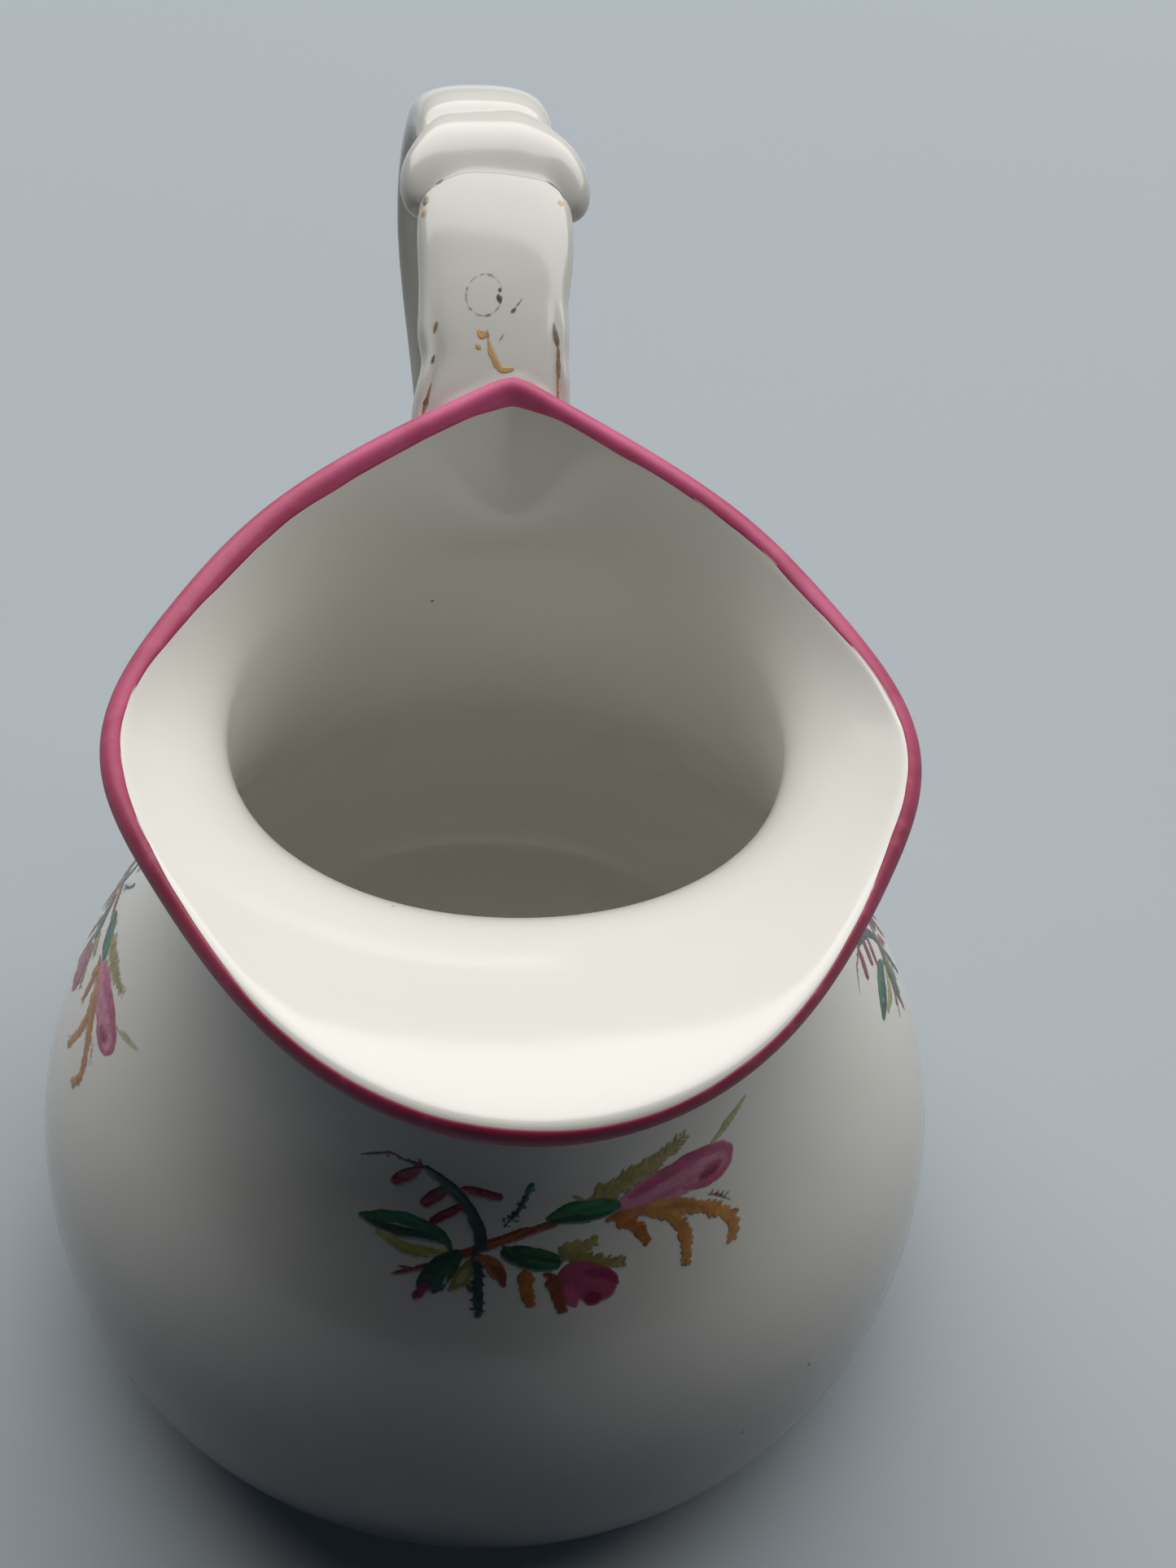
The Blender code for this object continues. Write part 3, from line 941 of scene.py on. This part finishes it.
def paintSpray(name, seed, strength, toSkin, finish):
    c = sprayColours
    art = Painting(name, *spray["size"], spray["pitch"], seed)
    brush = art.stroke

    # main stem, from the low left tip up to the big bud
    brush([(-14.2, -4.9), (-11.2, -3.5), (-8.8, -2.3)], 0.26, c["brown"], 0.95, taper=(0.2, 0.9))
    brush([(-12.5, -3.9), (-13.6, -4.0)], 0.14, c["brown"], 0.8)
    brush([(-9.2, -2.4), (-6.4, -1.1), (-3.2, 0.1), (-0.4, 0.8)], 0.46, c["rust"], 1.0, taper=(0.9, 0.6))
    brush([(-7.2, -1.2), (-5.0, -0.6), (-2.8, 0.4)], 0.20, c["orange"], 0.8)

    # left leaf: yellow below, dark green above
    brush([(-16.0, -1.3), (-13.6, -2.0), (-11.0, -2.1), (-9.6, -1.8)], 0.42, c["leafYellow"], 0.9)
    brush([(-15.6, -1.5), (-13.4, -2.5), (-11.2, -2.6)], 0.15, c["olive"], 0.9)
    brush([(-17.6, -0.2), (-15.4, 0.4), (-12.6, 0.3), (-10.2, -0.6), (-9.4, -1.9)], 0.62, c["green"], 1.0)
    brush([(-17.2, -0.4), (-14.6, -0.7), (-11.8, -0.7), (-10.0, -1.2)], 0.44, c["deepGreen"], 1.0)
    brush([(-16.2, 0.5), (-14.0, 0.9), (-11.8, 0.6)], 0.26, c["emerald"], 0.8)
    brush([(-12.4, 0.7), (-11.0, 0.2), (-10.0, -0.6)], 0.18, c["green"], 0.9)

    # dark leaf and olive leaf under the crossing
    leaf = [(-8.9, -2.2), (-9.6, -2.8), (-10.7, -4.2), (-11.6, -5.6)]
    brush(leaf, 0.95, c["deepGreen"], 1.0, taper=(0.6, 0.4))
    brush([(-9.0, -2.6), (-9.9, -4.2), (-10.9, -5.8)], 0.42, c["green"], 0.6)
    brush([(-11.3, -5.4), (-12.0, -6.8)], 0.40, c["magenta"], 0.85, taper=(0.9, 0.3))
    brush([(-9.9, -4.6), (-10.6, -6.0)], 0.26, c["teal"], 0.9)
    brush([(-7.6, -2.7), (-8.2, -4.0), (-9.2, -5.5)], 0.62, c["olive"], 0.85)
    brush([(-7.9, -3.4), (-8.7, -4.9)], 0.30, c["straw"], 0.6)
    brush([(-8.6, -2.9), (-9.9, -5.6)], 0.12, c["deepGreen"], 0.9)

    # dark stalk straight down, with short hairs
    brush([(-7.4, -1.6), (-7.0, -4.0), (-6.8, -7.8)], 0.40, c["teal"], 1.0, taper=(0.9, 0.6))
    for step in range(6):
        height = -2.9 - 0.85 * step
        brush([(-7.5, height), (-6.3, height - 0.25)], 0.13, c["teal"], 0.85)

    # reddish leaf to the right of the stalk
    brush([(-7.0, -2.2), (-5.6, -2.9), (-4.8, -4.9)], 0.48, c["rust"], 0.95)
    brush([(-7.2, -2.3), (-6.2, -2.3), (-5.0, -3.0)], 0.32, c["orange"], 0.9)
    brush([(-6.4, -2.9), (-5.6, -4.3)], 0.16, c["orange"], 0.8)
    brush([(-7.8, -4.9), (-7.5, -5.6)], 0.16, c["brown"], 0.7)

    # teal stem arching up and left to a fine brown tip
    stem = [(-6.9, -1.1), (-7.2, 0.6), (-8.3, 2.5), (-10.2, 4.4), (-12.4, 5.8)]
    brush(stem, 0.55, c["teal"], 1.0, taper=(0.95, 0.45))
    brush([(-7.6, 1.4), (-8.8, 3.2), (-10.6, 4.9)], 0.15, c["brightTeal"], 0.55)
    brush([(-12.2, 5.7), (-13.4, 6.0), (-14.8, 6.2)], 0.16, c["brown"], 0.8)
    brush([(-14.4, 6.1), (-16.0, 6.5), (-17.3, 6.1), (-18.9, 5.5)], 0.11, c["brown"], 0.75)
    for step in range(5):
        across = -12.9 - 1.05 * step
        brush([(across, 6.1), (across - 0.45, 6.65 - 0.12 * step)], 0.08, c["brown"], 0.7)

    # crimson side buds
    for where, tip, wide in (
        ((-15.1, 4.0), (-13.3, 5.4), 0.60),
        ((-12.1, 2.5), (-10.4, 4.0), 0.62),
        ((-11.1, 0.9), (-8.9, 2.5), 0.48),
        ((-8.5, 4.25), (-5.4, 3.6), 0.42),
    ):
        brush([where, tip], wide, c["crimson"], 1.0, taper=(0.85, 0.75))
        brush([where, tip], wide * 0.3, c["rose"], 0.2)
    brush([(-13.3, 5.5), (-12.4, 5.8)], 0.16, c["teal"], 0.9)
    brush([(-11.0, 3.7), (-10.3, 4.3)], 0.42, c["deepGreen"], 0.9)
    brush([(-9.0, 4.3), (-8.4, 4.0)], 0.15, c["rust"], 0.9)

    # small teal sprig
    art.feather([(-4.9, 0.8), (-3.7, 2.2), (-2.2, 4.8)], 0.17, c["teal"], 0.62, 6, 0.95, 0.5)
    brush([(-2.9, 3.9), (-2.3, 4.8)], 0.34, c["brightTeal"], 0.75)

    # big bud: moss behind it, then petals, heart and the green calyx
    brush([(2.6, 2.3), (5.8, 3.4), (9.4, 4.4), (12.8, 5.3)], 0.75, c["moss"], 0.45, 0.5, taper=(0.4, 0.2))
    art.feather([(2.8, 2.3), (5.6, 3.3), (8.8, 4.5)], 0.30, c["moss"], 1.25, 15, 0.65, 0.8)
    art.feather([(5.6, 2.6), (9.4, 4.1), (13.6, 5.8)], 0.26, c["moss"], 1.15, 18, 0.55, 0.9)
    art.feather([(4.2, 2.4), (6.6, 3.7), (8.0, 4.2)], 0.20, c["olive"], 0.8, 9, 0.55, 0.9)
    brush([(16.0, 3.6), (18.4, 4.6), (21.2, 5.8)], 0.30, c["straw"], 0.55, 0.35)
    brush([(17.6, 4.6), (19.0, 5.1)], 0.18, c["leafYellow"], 0.4, 0.3)
    petal = [(5.6, 1.3), (9.0, 1.6), (13.0, 1.9), (16.6, 2.0)]
    brush(petal, 1.62, c["palePink"], 0.95, 0.3, taper=(0.25, 0.82))
    petal = [(6.6, 1.9), (10.0, 2.7), (13.8, 3.2), (17.0, 2.8)]
    brush(petal, 0.62, c["pink"], 0.9, 0.35, taper=(0.3, 0.6), streak=0.5)
    brush([(9.4, 2.4), (12.4, 3.1), (15.4, 3.2)], 0.26, c["rose"], 0.55, 0.3)
    brush([(12.0, 0.7), (14.6, 0.2), (17.0, 0.8), (17.9, 2.0)], 0.34, c["pink"], 0.8, 0.3)
    brush([(7.6, 0.8), (11.0, 1.0), (14.0, 1.5)], 0.28, c["pink"], 0.45, 0.35, streak=0.5)
    brush([(17.4, 1.4), (17.6, 2.2), (16.6, 3.1)], 0.40, c["pink"], 0.75, 0.3)
    brush([(13.9, 0.9), (15.2, 1.1), (16.4, 1.5)], 0.62, c["rose"], 0.9, 0.3)
    brush([(14.1, 0.9), (15.2, 1.0), (16.0, 1.3)], 0.34, c["crimson"], 0.8, 0.25)
    brush([(-0.8, 1.3), (1.0, 1.6), (3.4, 1.6), (5.4, 1.5)], 1.0, c["green"], 1.0, taper=(0.3, 0.5))
    brush([(-0.6, 1.0), (1.2, 0.9), (3.2, 0.8), (4.8, 0.9)], 0.36, c["deepGreen"], 1.0)
    brush([(0.8, 2.0), (2.6, 2.2), (4.4, 2.0)], 0.30, c["emerald"], 0.75)
    brush([(2.4, 1.3), (4.0, 1.4), (5.2, 1.5)], 0.34, c["emerald"], 0.6)

    # brown fronds hanging under the big bud
    brush([(4.4, 0.2), (6.6, 0.4), (9.2, 0.0)], 0.40, c["orange"], 0.9)
    brush([(7.0, 0.4), (10.8, -0.5), (13.8, -2.0)], 0.75, c["amber"], 0.5, 0.4)
    art.feather([(5.2, 0.1), (6.8, -1.0), (7.8, -3.0)], 0.44, c["orange"], 0.75, 11, 0.8)
    art.feather([(8.4, 0.1), (10.4, -1.2), (11.2, -3.6), (10.7, -6.6)], 0.46, c["amber"], 0.85, 16, 0.75)
    frond = [(8.0, 0.3), (11.4, -0.8), (14.2, -2.4), (15.9, -4.2), (15.4, -6.4)]
    art.feather(frond, 0.46, c["amber"], 0.90, 22, 0.75)
    brush([(8.6, 0.1), (11.8, -0.9), (14.0, -2.3)], 0.18, c["orange"], 0.8)
    brush([(10.3, -1.2), (11.0, -3.0), (11.0, -4.8)], 0.15, c["orange"], 0.7)
    brush([(14.3, -1.0), (15.2, -1.5), (16.2, -2.6)], 0.09, c["brown"], 0.5)
    for step in range(4):
        hair = [(14.5 + 0.45 * step, -1.1 - 0.3 * step), (14.9 + 0.5 * step, -0.8 - 0.35 * step)]
        brush(hair, 0.07, c["brown"], 0.45)

    # lower bud
    art.feather([(0.0, -1.9), (1.6, -1.8), (3.2, -1.6)], 0.34, c["moss"], 0.85, 9, 0.65)
    art.feather([(0.4, -2.6), (2.6, -3.3), (5.6, -4.2)], 0.36, c["olive"], 0.95, 13, 0.65)
    brush([(0.8, -4.4), (2.2, -5.2), (3.2, -6.0)], 1.75, c["rose"], 0.95, 0.3, taper=(0.6, 0.75))
    brush([(0.3, -4.9), (0.6, -6.2), (1.0, -7.4)], 0.55, c["pink"], 0.85, 0.3)
    brush([(2.2, -4.4), (3.8, -4.9), (4.6, -6.0)], 0.50, c["magenta"], 0.85, 0.3)
    brush([(1.8, -4.9), (2.8, -5.6)], 0.35, c["pink"], 0.5, 0.3)
    brush([(2.0, -7.0), (2.9, -6.9)], 0.62, c["crimson"], 1.0, 0.25)
    brush([(-4.5, -1.8), (-2.8, -2.3), (-0.6, -3.0)], 1.05, c["deepGreen"], 1.0, taper=(0.6, 0.6))
    brush([(-3.4, -1.5), (-1.6, -1.9), (0.0, -2.6)], 0.36, c["green"], 0.9)
    brush([(-2.8, -2.6), (-1.2, -3.1), (-0.2, -3.2)], 0.30, c["emerald"], 0.6)
    brush([(-5.0, -1.0), (-4.2, -1.7)], 0.18, c["green"], 0.9)
    art.feather([(-3.0, -3.6), (-3.0, -5.2), (-2.6, -6.9)], 0.50, c["orange"], 0.55, 9, 0.8)
    brush([(-1.3, -4.0), (-0.2, -4.7), (0.5, -5.0)], 0.34, c["rust"], 0.9)
    art.feather([(-0.9, -4.4), (-0.4, -6.0), (-0.1, -7.8)], 0.50, c["rust"], 0.5, 9, 0.8)
    art.cover *= strength
    return art.finished(toSkin, finish, spray["film"])


spraySpots = (
    # name, turn from the spout, height, seed, strength of the paint
    ("sprayFront", 7.0, 0.0510, 11, 1.0),
    ("sprayLeft", -98.0, 0.0440, 23, 0.62),
    ("sprayRight", 104.0, 0.0450, 37, 0.62),
)
wallLine = wallOutside()[::-1]
wallRun = lengths(wallLine)


def skinOfWall(turnFromSpout, height):
    # lays a patch on the outer wall about this turn from the spout and this height
    k = np.argmax(wallLine[:, 1] >= height)
    middleRun = np.interp(height, wallLine[: k + 1, 1], wallRun[: k + 1])
    radius = np.interp(middleRun, wallRun, wallLine[:, 0])

    def toSkin(u, v, proud):
        turn = math.pi - math.radians(turnFromSpout) - u / radius
        spots = np.array([middleRun + v, middleRun + v - 0.0003, middleRun + v + 0.0003])
        spot, before, after = pointsAt(wallLine, wallRun, spots)
        along = (after - before) / np.linalg.norm(after - before)
        r, z = spot + np.array((along[1], -along[0])) * proud
        return Vector((r * math.sin(turn), r * math.cos(turn), z))

    return toSkin


flowerEnamel = brushedEnamel("flowerEnamel", Coat_Weight=0.1, Coat_Roughness=0.06)
sprays = [
    paintSpray(name, seed, strength, skinOfWall(turn, height), flowerEnamel)
    for name, turn, height, seed, strength in spraySpots
]


def skinOfStrap(run):
    # lays a patch on the strap's outer face, across and along from this length up the handle
    def toSkin(u, v, proud):
        halfWide, _, _ = strapShape(run + v)
        share = max(-0.985, min(0.985, u / halfWide))  # short of the strap's very edge
        angle = math.acos(signedPower(share, handle["roundness"] / 2))
        return leanHandle(strapPoint(run + v, angle, proud))

    return toSkin


gildColours = {
    "gold": (0.98, 0.62, 0.27),
    "worn": (0.50, 0.36, 0.20),
    # the darkest tone serves worn marks and painted shade in crevices; the brown one is painted shade in
    # a crevice
    "darkWearAndCreviceShade": (0.17, 0.15, 0.12),
    "brownCreviceShade": (0.45, 0.33, 0.24),
}


gild = {
    "size": (15.0, 30.0),
    "pitch": 0.09,
    "seed": 5,
    "film": 0.00005,
    "upTheHandle": 0.0190,
    "ringMiddle": (-1.1, 0.3),
    "ringRadii": (1.75, 2.1),
}


def ringPoint(degrees):
    turn = math.radians(degrees)
    across, up = gild["ringMiddle"]
    return across + gild["ringRadii"][0] * math.cos(turn), up + gild["ringRadii"][1] * math.sin(turn)


def paintGilding(finish):
    c = gildColours
    art = Painting("handleGilding", *gild["size"], gild["pitch"], gild["seed"])
    brush = art.stroke
    # a rubbed ring of short dashes, with a few darker grains
    dots = [ringPoint(degrees) for degrees in range(0, 361, 12)]
    for step, (start, end) in enumerate(zip(dots, dots[1:])):
        brush([start, end], 0.07, c["darkWearAndCreviceShade"], (0.22, 0.34, 0.14, 0.46, 0.18)[step % 5], 0.16)
    brush([(0.3, 0.3), (0.45, -0.3)], 0.24, c["darkWearAndCreviceShade"], 0.7, 0.2)
    brush([(0.35, 0.9), (0.5, 0.6)], 0.14, c["darkWearAndCreviceShade"], 0.6, 0.14)
    brush([(1.6, -1.4), (2.0, -1.0)], 0.16, c["darkWearAndCreviceShade"], 0.5, 0.2)
    brush([(2.0, -0.9), (2.5, -0.2), (2.4, 0.4)], 0.07, c["darkWearAndCreviceShade"], 0.4, 0.12)
    # gold that is left
    brush([(-1.6, -3.3), (-1.3, -3.9)], 0.34, c["gold"], 0.9, 0.16)
    brush([(-1.9, -4.7), (-1.6, -5.0)], 0.22, c["gold"], 0.85, 0.14)
    tail = [(-0.8, -4.2), (-0.4, -5.6), (0.4, -6.9), (1.5, -6.9)]
    brush(tail, 0.30, c["gold"], 0.9, 0.18, taper=(0.2, 0.7))
    brush([(-0.9, -3.2), (-0.8, -4.2)], 0.10, c["worn"], 0.5, 0.12)
    brush([(0.8, -3.4), (0.2, -4.4)], 0.08, c["worn"], 0.35, 0.12)
    # thin lines inside both leaf edges
    line = [(5.7, -2.2), (6.0, -4.2), (6.1, -7.0), (6.4, -11.0)]
    brush(line, 0.15, c["worn"], 0.6, 0.2, taper=(0.4, 0.3))
    brush([(5.7, -2.6), (5.9, -4.4)], 0.24, c["darkWearAndCreviceShade"], 0.45, 0.25)
    brush([(6.1, -6.0), (6.2, -9.0)], 0.10, c["gold"], 0.6, 0.12)
    brush([(-5.6, -2.2), (-5.9, -3.2)], 0.15, c["worn"], 0.6, 0.14)
    brush([(-6.0, -5.4), (-6.2, -6.2)], 0.13, c["darkWearAndCreviceShade"], 0.45, 0.14)
    brush([(-6.0, -8.0), (-6.3, -9.6), (-6.7, -11.2)], 0.19, c["worn"], 0.9, 0.14)
    brush([(-6.2, -8.8), (-6.6, -10.6)], 0.11, c["darkWearAndCreviceShade"], 0.7, 0.12)
    # painted shade in the crevices under the collar, with gold caught there
    brush([(-7.0, 10.8), (-6.8, 11.6)], 0.24, c["brownCreviceShade"], 0.7, 0.25)
    brush([(-7.1, 10.0), (-7.2, 9.4)], 0.20, c["gold"], 0.5, 0.25)
    # these dark strokes are painted shade in the crevices under the collar's edges
    brush([(-5.8, 12.9), (-5.2, 13.3)], 0.24, c["darkWearAndCreviceShade"], 0.5, 0.3)
    brush([(5.2, 13.2), (6.2, 12.6), (6.9, 11.6)], 0.12, c["darkWearAndCreviceShade"], 0.6, 0.2)
    brush([(6.4, 10.9), (6.6, 10.6)], 0.26, c["gold"], 0.5, 0.25)
    return art.finished(skinOfStrap(gild["upTheHandle"]), finish, gild["film"])


gilding = paintGilding(brushedEnamel("wornGilding", Metallic=0.1, Coat_Weight=0.1))


pieces = {
    jugBody: ("vessel",),
    strap: ("handle_strap",),
    collarPiece: ("handle_band",),
    rimEnamel: (),
    gilding: (),
}
pieces.update({painted: () for painted in sprays})
for piece, nodes in pieces.items():
    settle(piece)
    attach(piece, "root")
    for node in nodes:
        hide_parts(node)


table = {
    "halfSize": 3.0,
    "tone": (0.430, 0.485, 0.528, 1),
    "lighter": (0.455, 0.510, 0.552, 1),
}


def paleFloor():
    finish = Finish("paleFloor", Roughness=0.7, IOR=1.4)
    where = finish.place()
    drift = finish.noise(1.6, 2.0, where)
    tone = finish.blend(finish.ramp(drift, 0.3, 0.7), table["tone"], table["lighter"])
    finish.feed(Base_Color=tone)
    return finish.material


floorMesh = bmesh.new()
bmesh.ops.create_grid(floorMesh, x_segments=2, y_segments=2, size=table["halfSize"])
floor = addPiece("floor", floorMesh, paleFloor())
floor.visible_diffuse = False  # keeps the body's front in shade

backdrop = {
    "radius": 4.6,
    "foot": -2.0,
    "top": 6.0,
    "near": (0.430, 0.482, 0.520, 1),
    "high": (0.330, 0.372, 0.405, 1),
    "fadeHeight": 3.5,
    "segments": 96,
}


def glowingBackdrop():
    # a glowing backdrop: its painted glow is plain from every side and paler towards the floor
    finish = Finish("glowingBackdrop", Base_Color=(0, 0, 0, 1), Roughness=0.9, Emission_Strength=1.0)
    where = finish.place()
    rise = finish.node("ShaderNodeSeparateXYZ", None, {0: where}, "Z")
    drift = finish.noise(0.5, 2.0, where)
    fade = finish.ramp(rise + drift * 0.5, 0.0, backdrop["fadeHeight"])
    finish.feed(Emission_Color=finish.blend(fade, backdrop["near"], backdrop["high"]))
    return finish.material


backdropMesh = bmesh.new()
bmesh.ops.create_cone(
    backdropMesh,
    segments=backdrop["segments"],
    radius1=backdrop["radius"],
    radius2=backdrop["radius"],
    depth=backdrop["top"] - backdrop["foot"],
    matrix=Matrix.Translation((0, 0, (backdrop["top"] + backdrop["foot"]) / 2)),
)
bmesh.ops.reverse_faces(backdropMesh, faces=backdropMesh.faces)
backdropPiece = addPiece("backdrop", backdropMesh, glowingBackdrop())
# only a ground for the level views: it neither lights the jug nor shows in its glaze
backdropPiece.visible_diffuse = backdropPiece.visible_glossy = backdropPiece.visible_shadow = False

room = {
    "colour": (0.62, 0.78, 1.0, 1),
    "strength": 0.025,
}
world = bpy.data.worlds.new("paleRoom")
world.use_nodes = True
background = world.node_tree.nodes["Background"]
background.inputs["Color"].default_value = room["colour"]
background.inputs["Strength"].default_value = room["strength"]
bpy.context.scene.world = world

lights = {
    # name: place, aims at, size across and up, watts, colour
    "windowBehind": ((0.35, 1.70, 2.75), (0, 0, 0.06), (8.0, 2.9), 212.0, (1.0, 0.975, 0.95)),
}
for name, (place, aim, size, watts, colour) in lights.items():
    lamp = bpy.data.lights.new(name, "AREA")
    lamp.shape = "RECTANGLE"
    lamp.size, lamp.size_y = size
    lamp.energy = watts
    lamp.color = colour
    thing = bpy.data.objects.new(name, lamp)
    thing.location = place
    thing.rotation_euler = (Vector(aim) - Vector(place)).to_track_quat("-Z", "Y").to_euler()
    bpy.context.scene.collection.objects.link(thing)

view = {
    "place": (-0.00818, -0.12583, 0.20215),  # from the foot of the body's axis
    "heading": math.radians(7.197),  # right of the line from spout to handle
    "dip": math.radians(45.989),
    "roll": math.radians(5.292),
    "lens": 44.83,
    "sensor": 36.0,
}
cameraData = bpy.data.cameras.new("camera")
cameraData.lens = view["lens"]
cameraData.sensor_width = view["sensor"]
cameraData.clip_start = 0.01
camera = bpy.data.objects.new("camera", cameraData)
camera.matrix_world = (
    Matrix.Translation(Vector(view["place"]) + Vector((0, axisY, 0)))
    @ Matrix.Rotation(-view["heading"], 4, "Z")
    @ Matrix.Rotation(math.pi / 2 - view["dip"], 4, "X")
    @ Matrix.Rotation(view["roll"], 4, "Z")
)
bpy.context.scene.collection.objects.link(camera)
bpy.context.scene.camera = camera
bpy.context.scene.view_settings.view_transform = "Standard"
print("stage set")
